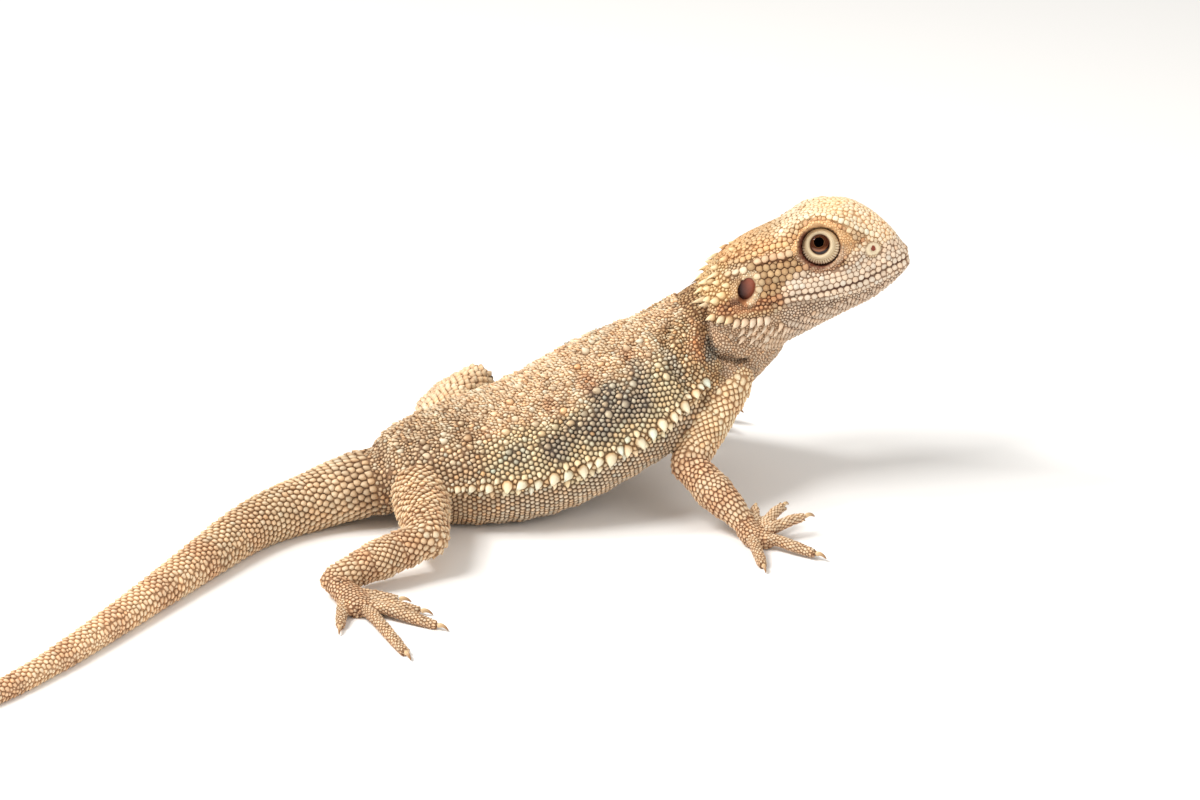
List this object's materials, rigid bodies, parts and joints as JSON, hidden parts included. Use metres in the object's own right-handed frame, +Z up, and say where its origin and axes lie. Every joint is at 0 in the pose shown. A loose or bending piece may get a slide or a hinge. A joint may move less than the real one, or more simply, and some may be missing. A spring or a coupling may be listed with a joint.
{
  "type": "bearded dragon lizard",
  "caption": "Young bearded dragon, life size, propped on its front legs with its head raised, as a still museum model.",
  "frame": {"origin": "centre of the animal's bounding box, at the level it rests on", "axes": "+X towards the snout, +Y towards the animal's left side, +Z up"},
  "size_m": [0.2116, 0.189, 0.0605],
  "materials": {
    "skin": "dry, matte scales in sandy cream and tan",
    "throat_skin": "dry, matte small scales in pinkish cream",
    "claw": "satin translucent horn",
    "eye": "wet and glossy, copper-brown iris",
    "eardrum": "satin dark red-brown membrane"
  },
  "bodies": {
    "root": {"trunk": "skin", "neck": "skin", "head": "skin", "tail_1": "skin", "tail_2": "skin", "tail_3": "skin", "tail_4": "skin", "tail_5": "skin", "lower_jaw": "throat_skin", "right_upper_arm": "skin", "right_forearm": "skin", "right_hand": "skin", "right_thigh": "skin", "right_shank": "skin", "right_foot": "skin", "right_eye": "eye", "right_eardrum": "eardrum", "right_hand_claw_1": "claw", "right_hand_claw_2": "claw", "right_hand_claw_3": "claw", "right_hand_claw_4": "claw", "right_hand_claw_5": "claw", "right_foot_claw_1": "claw", "right_foot_claw_2": "claw", "right_foot_claw_3": "claw", "right_foot_claw_4": "claw", "right_foot_claw_5": "claw", "left_upper_arm": "skin", "left_forearm": "skin", "left_hand": "skin", "left_thigh": "skin", "left_shank": "skin", "left_foot": "skin", "left_eye": "eye", "left_eardrum": "eardrum", "left_hand_claw_1": "claw", "left_hand_claw_2": "claw", "left_hand_claw_3": "claw", "left_hand_claw_4": "claw", "left_hand_claw_5": "claw", "left_foot_claw_1": "claw", "left_foot_claw_2": "claw", "left_foot_claw_3": "claw", "left_foot_claw_4": "claw", "left_foot_claw_5": "claw"}
  },
  "joints": []
}
